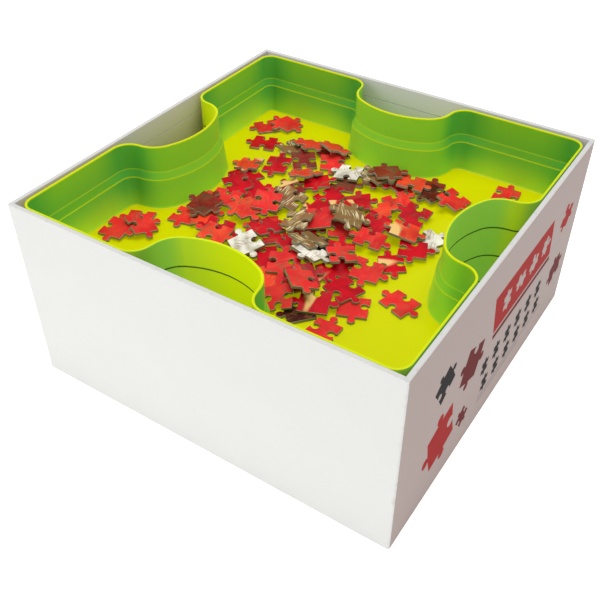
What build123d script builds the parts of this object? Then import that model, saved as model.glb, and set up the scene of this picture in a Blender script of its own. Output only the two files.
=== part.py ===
from build123d import *
from itertools import product
import math
import os
import random

import numpy as np
from scipy.optimize import linprog

# Jigsaw puzzle storage case: an open rigid cardboard box, square in plan, that holds a
# stack of five nesting sorting trays with loose jigsaw pieces heaped in the top one.
# Millimetres, +Z up.  The origin is the middle of the box's underside, +Y is its back.

# ---- the cardboard box -------------------------------------------------------------
BOX_SIDE = 270.0        # outside, the same both ways
BOARD = 2.4             # greyboard of the walls and the base
PAPER = 0.2             # wrap, liner and base sheet
STAY_PAPER = 0.15       # reinforcing paper on the four upright corners
GLUE = 0.05             # film of glue between two layers
CORNER_ROUND = 1.0      # of the wrap round an upright corner
STAY_LEG = 22.0         # width of a corner stay on each wall
TURN_IN = 14.0          # wrap folded over the rim, down the inside
TURN_UNDER = 16.0       # wrap folded under the base
SHEET_GAP = 0.5         # between the base sheet and the folded edge of the wrap
LINER_GAP = 0.4         # between the liner's top edge and the folded edge of the wrap

# ---- the trays ---------------------------------------------------------------------
TRAYS = 5
TRAY_PLAY = 1.5         # between the trays' rims and the box's lining, on each side
TRAY_HEIGHT = 47.0
TRAY_WALL = 1.6
TRAY_CORNER = 9.5       # plan radius of the four corners
STACK_STEP = 21.55      # from one rim to the rim of the tray above it
NEST_CLEARANCE = 0.4    # between a tray's lower wall and the tray that it sits in
FOOT_TAPER = 2.5        # the lower wall leans in this much from the outer ledge to the foot
RIM_DROP = 0.6          # top rim below the box's rim
SHOULDER_ABOVE = 2.8    # the inner slope starts this far above the outer ledge
SHOULDER_BELOW = 2.6    # and ends this far below it
RIM_ROUND = 0.5
FOOT_ROUND = 1.2
FLOOR_ROUND = 2.0
SHIFT_X = 0.6           # the stack stands a little off the middle of the box
SHIFT_Y = -1.1

# ---- the finger bay in each side of a tray -------------------------------------------
BAY_DEPTH = 34.8        # from the rim line to the middle of the bay
BAY_MOUTH = 75.4        # between the corners where the bay leaves the rim line
BAY_WAIST = 69.0        # between the bay's two inner corners
BAY_BOW = 12.0          # the bay's back is an arc, bowed in this much
BAY_MOUTH_ROUND = 13.0
BAY_WAIST_ROUND = 18.0

# ---- the loose jigsaw pieces ---------------------------------------------------------
PIECE = 18.0            # pitch of the cut, both ways
PIECE_THICK = 2.0
CUT_WANDER = 0.9        # how far the corners of the cut wander
NECK = 1.5              # half the width of a knob's neck
NECK_ROUND = 1.1
KNOB_RADIUS = 2.4
KNOB_WANDER = 1.3       # how far a knob sits off the middle of its side
REST_GAP = 0.15         # air left under a piece that rests on others
WALL_GAP = 1.0          # from a loose piece to the tray's wall
STEEPEST = 0.4          # slope of the most tilted piece, along X or Y
SLIP = 4.0              # a dropped piece slips up to this far each way, to lie lower
SLIP_COST = 0.1         # and gains at least this much height for each millimetre
TRIES = 3               # of the lowest spots nearby, how many it tries
CELL = 0.5              # of the height map that the heap is built on
NUDGE = 1.0             # step by which a piece dropped too near a wall moves inwards
WALL_TOP = 1000.0       # height on the map of where no piece can lie

SCARLET = "scarlet"
CRIMSON = "crimson"
ORANGE = "orange"
MAROON = "maroon"
CREAM = "cream"
KHAKI = "khaki"
COAL = "coal"
PRINTS = (SCARLET, CRIMSON, ORANGE, MAROON, CREAM, KHAKI, COAL)

# Where each loose piece was dropped, in the order in which they fell: X, Y, turn, print.
LOOSE_PIECES = [
    # spread on the floor, round the heap
    (-112, 97, 50, SCARLET), (-95, 74, 20, CRIMSON), (-107, -57, 20, SCARLET),
    (-117, -72, 5, SCARLET), (83, -38, 75, SCARLET), (62, -57, 20, SCARLET),
    (91, 110, 4, SCARLET), (47, 112, 12, MAROON), (58, -84, 0, SCARLET),
    (61, -7, 35, CRIMSON), (-43, 105, -25, CRIMSON), (68, 28, 60, CREAM),
    (-84, 26, 62, CRIMSON), (66, 12, 20, CRIMSON),
    # first layer of the heap
    (-72, 79, -10, KHAKI), (-57, 69, 40, MAROON), (-66, 51, 12, CRIMSON),
    (-35, 76, 30, SCARLET), (-13, 57, 20, MAROON), (1, 79, 30, CRIMSON),
    (18, 86, -20, CRIMSON), (45, 80, 70, COAL), (31, 56, 50, SCARLET),
    (45, 49, -5, CRIMSON), (31, 40, 33, ORANGE), (10, 38, 28, CRIMSON),
    (-10, 38, 66, CRIMSON), (-25, 45, 30, CRIMSON), (-9, 18, 80, CRIMSON),
    (-39, 27, -30, MAROON), (31, 25, -8, CRIMSON), (-62, 14, 62, CRIMSON),
    (-79, 8, 55, CRIMSON), (-46, 11, 8, CRIMSON), (-86, -35, 10, SCARLET),
    (-71, -33, 40, ORANGE), (-70, -9, 12, SCARLET), (-57, -35, 18, CRIMSON),
    (-28, -43, 70, CRIMSON), (-11, -46, 42, CRIMSON), (-31, -16, 38, SCARLET),
    (-18, -28, 50, CRIMSON), (-8, 0, 15, CRIMSON), (14, 5, 40, SCARLET),
    (11, -17, 5, COAL), (0, -26, 66, CRIMSON), (25, -16, 28, CRIMSON),
    (34, -33, -30, CRIMSON), (37, 5, 10, SCARLET), (52, -24, 12, SCARLET),
    (49, -48, -22, CRIMSON), (37, -77, 48, COAL), (7, -63, -20, ORANGE),
    (2, -50, 25, SCARLET), (19, -52, 55, CRIMSON), (42, -68, 24, CRIMSON),
    (20, -80, 30, SCARLET),
    # on top of those
    (-97, 106, -8, SCARLET), (-62, 80, 62, SCARLET), (-41, 88, -32, SCARLET),
    (-15, 67, 12, CREAM), (2, 89, -15, KHAKI), (59, 78, -15, SCARLET),
    (30, 73, 10, ORANGE), (-86, 36, 15, ORANGE), (-36, 44, -12, ORANGE),
    (53, 22, 15, ORANGE), (-36, 19, -5, KHAKI), (5, 24, -48, CRIMSON),
    (-54, -9, -20, ORANGE), (-80, -20, -5, MAROON), (-24, -24, -25, CRIMSON),
    (12, -37, -8, CREAM), (-51, -43, 8, ORANGE), (-27, -42, -28, CREAM),
    (30, -28, 42, SCARLET), (24, -66, -40, SCARLET), (-102, -68, 64, SCARLET),
    # the highest
    (12, 91, 35, MAROON), (1, 6, 30, SCARLET), (14, 12, 18, KHAKI),
    (-44, 5, 22, SCARLET), (11, -29, -15, KHAKI), (-4, -8, 12, KHAKI),
]

# ---- sizes that follow -----------------------------------------------------------------
WRAP_INSIDE = BOX_SIDE - 2 * PAPER
STAY_OUTSIDE = WRAP_INSIDE - 2 * GLUE
BOARD_OUTSIDE = STAY_OUTSIDE - 2 * STAY_PAPER - 2 * GLUE
BOARD_INSIDE = BOARD_OUTSIDE - 2 * BOARD
LINING_OUTSIDE = BOARD_INSIDE - 2 * GLUE
BASE_BOTTOM = PAPER + GLUE
BASE_TOP = BASE_BOTTOM + BOARD
LINER_TOP = BASE_TOP + GLUE + PAPER
TRAY_SIDE = LINING_OUTSIDE - 2 * PAPER - 2 * TRAY_PLAY
LEDGE_HEIGHT = TRAY_HEIGHT - STACK_STEP
LOWER_INSET = TRAY_WALL + NEST_CLEARANCE
BOX_HEIGHT = LINER_TOP + (TRAYS - 1) * STACK_STEP + TRAY_HEIGHT + RIM_DROP
BOARD_TOP = BOX_HEIGHT - PAPER - GLUE


def layer_round(outside):
    """Corner radius of a layer of the box's wall, concentric with the wrap's."""
    return CORNER_ROUND - (BOX_SIDE - outside) / 2


def band(outside, thick, bottom, top):
    """A square ring of one layer, with rounded upright corners."""
    inside = outside - 2 * thick
    outer = RectangleRounded(outside, outside, max(layer_round(outside), 0.1))
    if layer_round(inside) > 0.1:
        hole = RectangleRounded(inside, inside, layer_round(inside))
    else:
        hole = Rectangle(inside, inside)
    return Pos(0, 0, bottom) * extrude(outer - hole, top - bottom)


def block(x_size, y_size, bottom, top, x=0.0, y=0.0):
    standing = (Align.CENTER, Align.CENTER, Align.MIN)
    return Pos(x, y, bottom) * Box(x_size, y_size, top - bottom, align=standing)


# ---- the box's pieces --------------------------------------------------------------------
def base_board():
    return block(BOARD_INSIDE, BOARD_INSIDE, BASE_BOTTOM, BASE_TOP)


def wall_boards():
    """Front and back boards run the full width; the side boards fit between them."""
    middle = (BOARD_OUTSIDE - BOARD) / 2
    boards = {}
    for name, sign in (("front", -1), ("back", 1)):
        board = block(BOARD_OUTSIDE, BOARD, BASE_BOTTOM, BOARD_TOP, y=sign * middle)
        outer_edges = board.edges().filter_by(Axis.Z).sort_by(Axis.Y)
        outer_edges = outer_edges[-2:] if sign > 0 else outer_edges[:2]
        boards[name] = fillet(outer_edges, layer_round(BOARD_OUTSIDE))
    for name, sign in (("left", -1), ("right", 1)):
        boards[name] = block(BOARD, BOARD_INSIDE, BASE_BOTTOM, BOARD_TOP, x=sign * middle)
    return boards


def corner_stay(x_sign, y_sign):
    ring = band(STAY_OUTSIDE, STAY_PAPER, BASE_BOTTOM, BOARD_TOP)
    middle = (STAY_OUTSIDE - STAY_LEG) / 2
    return ring & block(STAY_LEG, STAY_LEG, BASE_BOTTOM, BOARD_TOP, x_sign * middle, y_sign * middle)


def outer_wrap():
    """Paper round the four walls, over the rim and under the base."""
    wall_thick = (BOX_SIDE - LINING_OUTSIDE) / 2 + PAPER
    outside = band(BOX_SIDE, PAPER, 0, BOX_HEIGHT)
    rim = band(BOX_SIDE, wall_thick, BOX_HEIGHT - PAPER, BOX_HEIGHT)
    turned_in = band(LINING_OUTSIDE, PAPER, BOX_HEIGHT - TURN_IN, BOX_HEIGHT)
    turned_under = band(BOX_SIDE, TURN_UNDER, 0, PAPER)
    return outside + rim + turned_in + turned_under


def inner_liner():
    """Paper on the inside of the walls and on the base."""
    walls = band(LINING_OUTSIDE, PAPER, LINER_TOP - PAPER, BOX_HEIGHT - TURN_IN - LINER_GAP)
    return walls + block(LINING_OUTSIDE, LINING_OUTSIDE, LINER_TOP - PAPER, LINER_TOP)


def base_sheet():
    side = BOX_SIDE - 2 * TURN_UNDER - 2 * SHEET_GAP
    return block(side, side, 0, PAPER)


# ---- a tray --------------------------------------------------------------------------------
def bay_cutter():
    """Plan of one finger bay, at the tray's back side, open beyond the rim line."""
    rim_line = TRAY_SIDE / 2
    beyond = rim_line + BAY_MOUTH_ROUND
    back_y = rim_line - BAY_DEPTH
    corner_y = back_y + BAY_BOW
    mouth = BAY_MOUTH / 2
    waist = BAY_WAIST / 2
    slope = (mouth - waist) / (rim_line - corner_y)
    spread = mouth + slope * (beyond - rim_line)
    back = ThreePointArc((-waist, corner_y), (0, back_y), (waist, corner_y))
    sides = Polyline((waist, corner_y), (spread, beyond), (-spread, beyond), (-waist, corner_y))
    plan = make_face(back.edges() + sides.edges())
    return fillet(plan.vertices().sort_by(Axis.Y)[:2], BAY_WAIST_ROUND)


def tray_outline():
    """Plan of the tray's outside at the rim: a rounded square with a bay in each side."""
    plan = RectangleRounded(TRAY_SIDE, TRAY_SIDE, TRAY_CORNER)
    for turn in range(4):
        plan -= Rot(0, 0, 90 * turn) * bay_cutter()
    reach = math.hypot(BAY_MOUTH / 2, TRAY_SIDE / 2)
    mouths = [v for v in plan.vertices() if abs(math.hypot(v.X, v.Y) - reach) < 0.01]
    return fillet(mouths, BAY_MOUTH_ROUND)


def prism(plan, bottom, top):
    return Pos(0, 0, bottom) * extrude(plan, top - bottom)


def tapered(low_plan, high_plan, bottom, top):
    return loft([Pos(0, 0, bottom) * low_plan, Pos(0, 0, top) * high_plan], ruled=True)


def lower_inset(height):
    """How far the outside of the lower wall lies inside the rim line."""
    return LOWER_INSET + FOOT_TAPER * (LEDGE_HEIGHT - height) / LEDGE_HEIGHT


def edges_at(shape, height):
    return [e for e in shape.edges() if abs(e.bounding_box().min.Z - height) < 1e-3
            and abs(e.bounding_box().max.Z - height) < 1e-3]


def sorting_tray():
    """One moulded tray, standing on Z = 0."""
    outline = tray_outline()
    slope_top = LEDGE_HEIGHT + SHOULDER_ABOVE
    slope_bottom = LEDGE_HEIGHT - SHOULDER_BELOW
    mouth_plan = offset(outline, -TRAY_WALL)
    step_plan = offset(outline, -lower_inset(slope_bottom) - TRAY_WALL)
    floor_plan = offset(outline, -lower_inset(TRAY_WALL) - TRAY_WALL)

    foot = tapered(offset(outline, -lower_inset(0)), offset(outline, -LOWER_INSET), 0, LEDGE_HEIGHT)
    foot = fillet(edges_at(foot, 0), FOOT_ROUND)
    well = tapered(floor_plan, step_plan, TRAY_WALL, slope_bottom)
    well = fillet(edges_at(well, TRAY_WALL), FLOOR_ROUND)
    slope = tapered(step_plan, mouth_plan, slope_bottom, slope_top)
    mouth = prism(mouth_plan, slope_top, TRAY_HEIGHT)
    tray = foot + prism(outline, LEDGE_HEIGHT, TRAY_HEIGHT) - well - slope - mouth
    return fillet(edges_at(tray, TRAY_HEIGHT), RIM_ROUND)


def tray_bottom(number):
    """Height of the underside of a tray, counted from 1 at the bottom of the stack."""
    return LINER_TOP + (number - 1) * STACK_STEP


# ---- the loose jigsaw pieces -----------------------------------------------------------------
def cut_side(start, end, kind, shift):
    """Edges of one side: kind is 1 for a knob, -1 for a socket, 0 for a straight edge."""
    if kind == 0:
        return [Line(start, end)]
    along = (end - start).normalized()
    out = Vector(along.Y, -along.X) * kind
    middle = (start + end) / 2 + along * shift

    def at(a, b):
        return middle + along * a + out * b

    foot = NECK + NECK_ROUND
    knob_y = NECK_ROUND + math.sqrt(KNOB_RADIUS**2 - NECK**2)
    bend = NECK_ROUND * (1 - math.sqrt(0.5))
    return [
        Line(start, at(-foot, 0)),
        ThreePointArc(at(-foot, 0), at(-NECK - bend, bend), at(-NECK, NECK_ROUND)),
        ThreePointArc(at(-NECK, NECK_ROUND), at(0, knob_y + KNOB_RADIUS), at(NECK, NECK_ROUND)),
        ThreePointArc(at(NECK, NECK_ROUND), at(NECK + bend, bend), at(foot, 0)),
        Line(at(foot, 0), end),
    ]


def piece_plan(chance):
    """Plan of one jigsaw piece about its middle, with its own cut."""
    half = PIECE / 2
    corners = []
    for x_sign, y_sign in ((-1, -1), (1, -1), (1, 1), (-1, 1)):
        x = x_sign * half + chance.uniform(-CUT_WANDER, CUT_WANDER)
        y = y_sign * half + chance.uniform(-CUT_WANDER, CUT_WANDER)
        corners.append(Vector(x, y))
    kinds = chance.choice([(1, -1, 1, -1), (-1, 1, -1, 1), (1, 1, -1, -1), (1, -1, -1, 1),
                           (1, 1, 1, -1), (-1, -1, 1, -1), (1, 1, 1, 1), (0, 1, -1, 1)])
    edges = []
    for i, kind in enumerate(kinds):
        shift = chance.uniform(-KNOB_WANDER, KNOB_WANDER)
        edges += cut_side(corners[i], corners[(i + 1) % 4], kind, shift)
    return make_face(edges).face()


def outline_points(face, spacing):
    """Points along a face's outer edge, this far apart at most."""
    points = []
    for edge in face.outer_wire().order_edges():
        count = max(2, math.ceil(edge.length / spacing))
        points += [edge.position_at(i / count) for i in range(count)]
    return np.array([(p.X, p.Y) for p in points])


class Heap:
    """Height map of a tray's floor, on which pieces come to rest one after another."""

    def __init__(self, floor_points, floor):
        farthest = max(max(abs(x), abs(y)) for x, y, _, _ in LOOSE_PIECES)
        side = 2 * math.ceil((max(TRAY_SIDE / 2, farthest + PIECE) + SLIP) / CELL)
        self.line = CELL * (np.arange(side) + 0.5 - side / 2)
        self.height = np.full((side, side), WALL_TOP)
        self.height[self.covered(floor_points)] = floor

    def covered(self, points):
        """Cells whose middle lies inside a closed outline."""
        x, y = np.meshgrid(self.line, self.line)
        inside = np.zeros(x.shape, bool)
        low = np.searchsorted(self.line, points.min(0))
        high = np.searchsorted(self.line, points.max(0))
        window = (slice(low[1], high[1]), slice(low[0], high[0]))
        x, y = x[window], y[window]
        for (x0, y0), (x1, y1) in zip(points, np.roll(points, -1, 0)):
            if y0 != y1:
                crosses = (y < max(y0, y1)) & (y >= min(y0, y1))
                inside[window] ^= crosses & (x < x0 + (y - y0) * (x1 - x0) / (y1 - y0))
        return inside

    def low_spots(self, points, x, y):
        """Where a piece dropped at a point may slip to, the lowest first."""
        reach = int(SLIP / CELL)
        while True:
            rows, columns = np.nonzero(grown(self.covered(points + (x, y)), 1))
            spots = []
            for step_y, step_x in product(range(-reach, reach + 1), repeat=2):
                under = self.height[rows + step_y, columns + step_x]
                if under.max() < WALL_TOP:
                    slip = CELL * math.hypot(step_x, step_y)
                    cells = (rows + step_y, columns + step_x)
                    spots.append((under.mean() + SLIP_COST * slip, step_x, step_y, cells))
            if spots:
                return x, y, sorted(spots, key=lambda spot: spot[:3])
            x -= NUDGE * x / math.hypot(x, y)
            y -= NUDGE * y / math.hypot(x, y)

    def resting_plane(self, cells, x, y):
        """Lowest plane through a piece's middle that clears all that is under it."""
        under = self.height[cells] + REST_GAP
        arms = np.stack([np.ones(len(under)), self.line[cells[1]] - x, self.line[cells[0]] - y], 1)
        limits = [(None, None), (-STEEPEST, STEEPEST), (-STEEPEST, STEEPEST)]
        return tuple(linprog([1, 0, 0], A_ub=-arms, b_ub=-under, bounds=limits).x)

    def settle(self, points, x, y):
        """Lay a dropped piece on the heap: its middle, the height there and its two slopes."""
        x, y, spots = self.low_spots(points, x, y)
        rests = []
        for _, step_x, step_y, cells in spots[:TRIES]:
            spot_x = x + step_x * CELL
            spot_y = y + step_y * CELL
            level, slope_x, slope_y = self.resting_plane(cells, spot_x, spot_y)
            rests.append((level, spot_x, spot_y, slope_x, slope_y))
        level, x, y, slope_x, slope_y = min(rests)
        grid_x, grid_y = np.meshgrid(self.line, self.line)
        thick = PIECE_THICK * math.sqrt(1 + slope_x**2 + slope_y**2)
        surface = level + slope_x * (grid_x - x) + slope_y * (grid_y - y) + thick
        on_top = grown(self.covered(points + (x, y)), 1)
        self.height[on_top] = np.maximum(self.height, surface)[on_top]
        return x, y, level, slope_x, slope_y


def grown(mask, cells):
    """The same cells and their neighbours, this many cells out."""
    for _ in range(cells):
        mask = mask | np.roll(mask, 1, 0) | np.roll(mask, -1, 0)
        mask = mask | np.roll(mask, 1, 1) | np.roll(mask, -1, 1)
    return mask


def loose_pieces():
    """The heap in the top tray, as a list of solids for each print."""
    inset = lower_inset(TRAY_WALL) + TRAY_WALL + FLOOR_ROUND + WALL_GAP
    floor_plan = offset(tray_outline(), -inset).face()
    heap = Heap(outline_points(floor_plan, 1.0), tray_bottom(TRAYS) + TRAY_WALL)
    groups = {name: [] for name in PRINTS}
    for number, (x, y, turn, colour) in enumerate(LOOSE_PIECES):
        plan = Rot(0, 0, turn) * piece_plan(random.Random(number))
        x, y, level, slope_x, slope_y = heap.settle(outline_points(plan, 0.5), x, y)
        seat = Plane((x + SHIFT_X, y + SHIFT_Y, level), (1, 0, slope_x), (-slope_x, -slope_y, 1))
        groups[colour].append(seat.location * extrude(plan, PIECE_THICK))
    return groups


# ---- writing ---------------------------------------------------------------------------------
def write(shape, name):
    export_step(shape, f"parts/{name}.step")


def main():
    os.makedirs("parts", exist_ok=True)
    write(base_board(), "base_board")
    for name, board in wall_boards().items():
        write(board, f"{name}_wall_board")
    for y_name, y_sign in (("front", -1), ("back", 1)):
        for x_name, x_sign in (("left", -1), ("right", 1)):
            write(corner_stay(x_sign, y_sign), f"{y_name}_{x_name}_corner_stay")
    write(outer_wrap(), "outer_wrap")
    write(inner_liner(), "inner_liner")
    write(base_sheet(), "base_sheet")
    tray = sorting_tray()
    for number in range(1, TRAYS + 1):
        write(Pos(SHIFT_X, SHIFT_Y, tray_bottom(number)) * tray, f"tray_{number}")
    for name, solids in loose_pieces().items():
        write(Compound(children=solids), f"{name}_jigsaw_pieces")


if __name__ == "__main__":
    main()
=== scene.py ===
"""Jigsaw puzzle storage case: a paper-wrapped box of lime sorting trays with loose pieces."""

import math
import random

import bmesh
import bpy
from bpy.props import FloatProperty, FloatVectorProperty, IntProperty, PointerProperty
from mathutils import Matrix, Vector, geometry, kdtree


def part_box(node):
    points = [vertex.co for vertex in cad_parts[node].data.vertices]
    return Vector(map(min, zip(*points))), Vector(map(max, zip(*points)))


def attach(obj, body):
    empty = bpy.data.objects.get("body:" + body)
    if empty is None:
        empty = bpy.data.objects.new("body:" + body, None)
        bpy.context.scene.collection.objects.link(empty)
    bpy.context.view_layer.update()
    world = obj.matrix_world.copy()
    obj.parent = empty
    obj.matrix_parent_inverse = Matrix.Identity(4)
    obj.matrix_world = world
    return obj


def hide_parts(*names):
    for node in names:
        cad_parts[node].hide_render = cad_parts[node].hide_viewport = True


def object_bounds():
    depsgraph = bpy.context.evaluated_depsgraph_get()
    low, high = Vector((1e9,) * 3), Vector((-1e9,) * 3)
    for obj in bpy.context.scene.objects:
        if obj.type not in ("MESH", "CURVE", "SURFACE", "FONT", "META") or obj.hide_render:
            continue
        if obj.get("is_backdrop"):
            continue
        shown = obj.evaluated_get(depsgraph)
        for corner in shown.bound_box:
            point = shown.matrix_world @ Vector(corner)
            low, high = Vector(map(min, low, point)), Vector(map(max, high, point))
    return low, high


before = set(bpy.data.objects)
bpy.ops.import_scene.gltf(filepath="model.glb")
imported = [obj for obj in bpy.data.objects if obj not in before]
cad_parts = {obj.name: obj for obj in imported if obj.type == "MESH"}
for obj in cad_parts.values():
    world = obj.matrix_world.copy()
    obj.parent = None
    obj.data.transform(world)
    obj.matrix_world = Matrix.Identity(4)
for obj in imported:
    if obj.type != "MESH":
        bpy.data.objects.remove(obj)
CAD_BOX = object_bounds()

bl_info = {
    "name": "Jigsaw Puzzle Storage Case",
    "version": (1, 0, 0),
    "blender": (4, 5, 0),
    "location": "View3D > Sidebar > Jigsaw Case",
    "description": "Builds the paper-wrapped box, its sorting trays and the loose jigsaw pieces",
    "category": "Object",
}

MM = 0.001
MERGE = 1e-6  # metres; points nearer than this are one point
KEEP_INSIDE = 1  # the triangulation's way of output that leaves out what is outside the outline
MARKS = ("height", "inside", "nook")  # what each vertex of a tray tells its material
PRINTS = ("scarlet", "crimson", "orange", "maroon", "cream", "khaki", "coal")
BOARDS = ("base_board", "front_wall_board", "back_wall_board", "left_wall_board",
          "right_wall_board")
STAYS = ("front_left_corner_stay", "front_right_corner_stay",
         "back_left_corner_stay", "back_right_corner_stay")
TRAYS = ("tray_1", "tray_2", "tray_3", "tray_4", "tray_5")
BOX_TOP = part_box("outer_wrap")[1].z


def ink(red, green, blue):
    """A colour on a 0 to 255 scale, as linear light."""
    return tuple(c / 12.92 if c <= 0.04045 else ((c + 0.055) / 1.055) ** 2.4
                 for c in (red / 255, green / 255, blue / 255))


def length(name, about, value):
    """A setting in metres."""
    return FloatProperty(name=name, description=about, default=value, min=0, precision=5,
                         unit="LENGTH")


def colour(name, about, red, green, blue):
    """A colour setting, given on a 0 to 255 scale."""
    return FloatVectorProperty(name=name, description=about, default=ink(red, green, blue),
                               size=3, min=0, max=1, subtype="COLOR")


def share(name, about, value):
    """A setting from 0 to 1."""
    return FloatProperty(name=name, description=about, default=value, min=0, max=1,
                         subtype="FACTOR")


# ---- settings ------------------------------------------------------------------------------
class CaseBoxSettings(bpy.types.PropertyGroup):
    side: length("Side", "Outside width and depth of the box", 270 * MM)
    corner: length("Corner round", "Radius of the wrap round an upright corner", 1 * MM)
    rim_width: length("Rim width", "Wall, wrap and turn-in, seen from above", 3.0 * MM)
    rim_round: length("Rim round", "How softly the paper goes over the rim", 0.55 * MM)
    turn_in: length("Turn-in", "Wrap folded down the inside of the walls", 14 * MM)
    turn_under: length("Turn-under", "Wrap folded under the base", 16 * MM)
    foot_round: length("Foot round", "How softly the paper goes under the base", 0.4 * MM)
    paper: length("Paper", "Thickness of the turn-in's cut edge", 0.2 * MM)
    white: colour("White paper", "Unprinted wrap", 231, 231, 228)
    grey: colour("Printed ground", "Warm grey that the right side is printed with", 180, 164, 159)
    lining: colour("Lining", "Paper on the inside of the walls", 238, 226, 236)
    board: colour("Greyboard", "Core of the walls and base", 150, 146, 138)
    stay: colour("Stay paper", "Reinforcing paper on the corners", 196, 178, 140)
    red: colour("Red ink", "The print's red", 162, 20, 16)
    dark_red: colour("Dark red ink", "The print's second red", 102, 14, 16)
    black: colour("Black ink", "The print's black", 22, 18, 18)
    line: colour("Line ink", "Thin rules of the print", 136, 126, 122)
    wear: share("Wear", "Rubbing along the corners and the rim", 0.25)
    wall_shade: share("Wall shade", "Darkening of the wall that faces right inside the box", 0.62)
    shade_depth: length("Shade depth", "From the rim to where the wall shade is in full", 50 * MM)
    rim_shade: share("Rim shade", "Darkening of the paper on top of the rim", 0.24)


class CaseTraySettings(bpy.types.PropertyGroup):
    side: length("Side", "Outside width at the rim", 260.8 * MM)
    height: length("Height", "Foot to rim", 47 * MM)
    wall: length("Wall", "Thickness of the moulding", 1.6 * MM)
    corner: length("Corner round", "Radius of the four corners", 9.5 * MM)
    ledge: length("Ledge height", "Foot to the outer ledge", 25.45 * MM)
    ledge_width: length("Ledge width", "The lower wall stands in by this much", 2 * MM)
    seat_gap: length("Seat gap", "Air between the ledge and the rim that it stands on", 0.03 * MM)
    taper: length("Foot taper", "The lower wall leans in by this much more", 2.5 * MM)
    slope_above: length("Slope above ledge", "Top of the inner slope above the ledge", 2.8 * MM)
    slope_below: length("Slope below ledge", "Foot of the inner slope below the ledge", 2.6 * MM)
    bay_depth: length("Bay depth", "Rim line to the middle of a finger bay", 34.8 * MM)
    bay_mouth: length("Bay mouth", "Width of a bay at the rim line", 75.4 * MM)
    bay_waist: length("Bay waist", "Width of a bay at its inner corners", 69 * MM)
    bay_bow: length("Bay bow", "How far the bay's back bulges into the tray", 12 * MM)
    mouth_round: length("Mouth round", "Radius of the corners at the bay's mouth", 13 * MM)
    waist_round: length("Waist round", "Radius of the bay's inner corners", 18 * MM)
    # Painted light: the floor is the moulding painted lit, the walls below painted in shade.
    floor: colour("Floor", "The moulding where it is lit through", 210, 211, 0)
    brim: colour("Wall under the rim", "The inside of the wall at its top", 136, 196, 50)
    upright: colour("Wall at the step", "The inside of the wall halfway up", 122, 190, 60)
    slope: colour("Slope", "The inner slope, which faces the light", 112, 176, 44)
    lower: colour("Wall at the floor", "The inside of the wall at its foot", 184, 226, 50)
    # Painted shade in the hollow corners.
    deep: colour("Deep wall", "The moulding in its hollow corners", 86, 172, 64)
    through: colour("Lit through", "The wall of a finger bay, lit from its far side", 150, 212, 52)
    # Painted light on the outer face towards the front left, painted shade away from it.
    outside: colour("Outside", "The outer face where it points left or to the front", 194, 212, 8)
    shaded: colour("Shaded outside", "The outer face where it points right or back", 130, 182, 62)
    # Painted highlight on the moulding's edges.
    rim: colour("Rim", "The moulding's bright edges", 208, 218, 14)
    # Painted shadow in the seam under the outer wall of each tray.
    seam: colour("Seam", "The dark line under the outer wall of each tray", 24, 70, 14)
    line_half: length("Half line", "Half the width of the light along an edge", 0.7 * MM)
    # The dark seam is painted shadow.
    seam_half: length("Half seam", "Half the width of the dark seam, before it fades", 0.9 * MM)
    rim_light: length("Rim light", "How far down the inside the bright rim reaches", 1.2 * MM)
    bay_start: length("Bay start", "A wall this far in starts to be lit as a bay", 5 * MM)
    bay_full: length("Bay in full", "A wall this far in is lit as a bay in full", 25 * MM)
    floor_inset: length("Floor inset", "Outside to the level fill of floor and foot", 8.5 * MM)
    # The dark of a hollow corner is painted shade.
    nook_reach: length("Nook reach", "How far the dark of a hollow corner spreads", 11 * MM)


class CasePieceSettings(bpy.types.PropertyGroup):
    edge_round: length("Pressed edge", "Radius that the die leaves on the upper edge", 0.28 * MM)
    print_size: length("Print size", "Size of the picture's patches", 12 * MM)
    seed: IntProperty(name="Seed", description="Cuts the pieces from other parts of the picture",
                      default=11, min=0)
    scarlet: colour("Scarlet", "Main ink", 222, 38, 40)
    crimson: colour("Crimson", "Main ink", 200, 2, 26)
    orange: colour("Orange", "Main ink", 232, 66, 38)
    maroon: colour("Maroon", "Main ink", 132, 36, 30)
    cream: colour("Cream", "Main ink", 234, 228, 216)
    khaki: colour("Khaki", "Main ink", 134, 104, 62)
    coal: colour("Coal", "Main ink", 62, 20, 14)
    board: colour("Cut board", "Core of the pieces, seen where they are cut", 156, 144, 98)


class CaseStageSettings(bpy.types.PropertyGroup):
    camera_place: FloatVectorProperty(name="Camera place", description="Where the camera stands",
                                      default=(0.23783, -0.38259, 0.40937), size=3,
                                      subtype="TRANSLATION", unit="LENGTH")
    camera_turn: FloatVectorProperty(name="Camera turn", description="How the camera is turned",
                                     default=(0.868646, 0.000839, 0.580992), size=3,
                                     subtype="EULER", unit="ROTATION")
    lens: FloatProperty(name="Lens", description="Focal length in millimetres", default=49.135,
                        min=1, unit="CAMERA")
    floor: colour("Floor", "Plain pale floor", 250, 250, 250)
    sky: FloatProperty(name="Sky", description="Strength of the even light all round",
                       default=0.50, min=0)
    key: FloatProperty(name="Key light", description="Power of the large overhead light",
                       default=8.5, min=0, unit="POWER")
    fill: FloatProperty(name="Fill light", description="Power of the light on the front",
                        default=2.6, min=0, unit="POWER")
    glow: FloatProperty(name="Floor glow", description="Light that the pale floor gives by itself",
                        default=0.46, min=0)


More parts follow.
